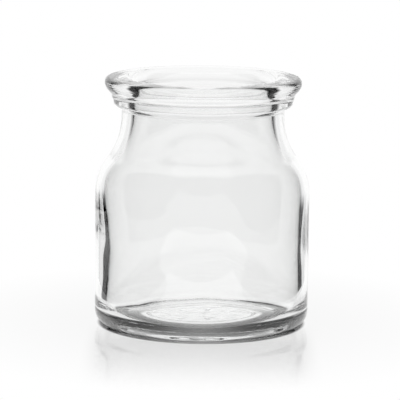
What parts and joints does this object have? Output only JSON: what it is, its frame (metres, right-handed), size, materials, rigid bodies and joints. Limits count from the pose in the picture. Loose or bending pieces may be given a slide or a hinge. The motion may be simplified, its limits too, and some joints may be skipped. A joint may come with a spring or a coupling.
{
  "type": "glass yogurt jar",
  "caption": "Small clear glass jar with a straight round body, sloping shoulder, short neck and wide flanged rim, empty and without a lid.",
  "frame": {"origin": "centre of the ring that the jar stands on, at table height", "axes": "+Z along the jar's axis, up through the mouth; X and Y are any two directions across the round body"},
  "size_m": [0.07, 0.07, 0.0811],
  "materials": {
    "clear_glass": "clear, smooth, fire-polished"
  },
  "bodies": {
    "root": {"jar": "clear_glass"}
  },
  "joints": []
}
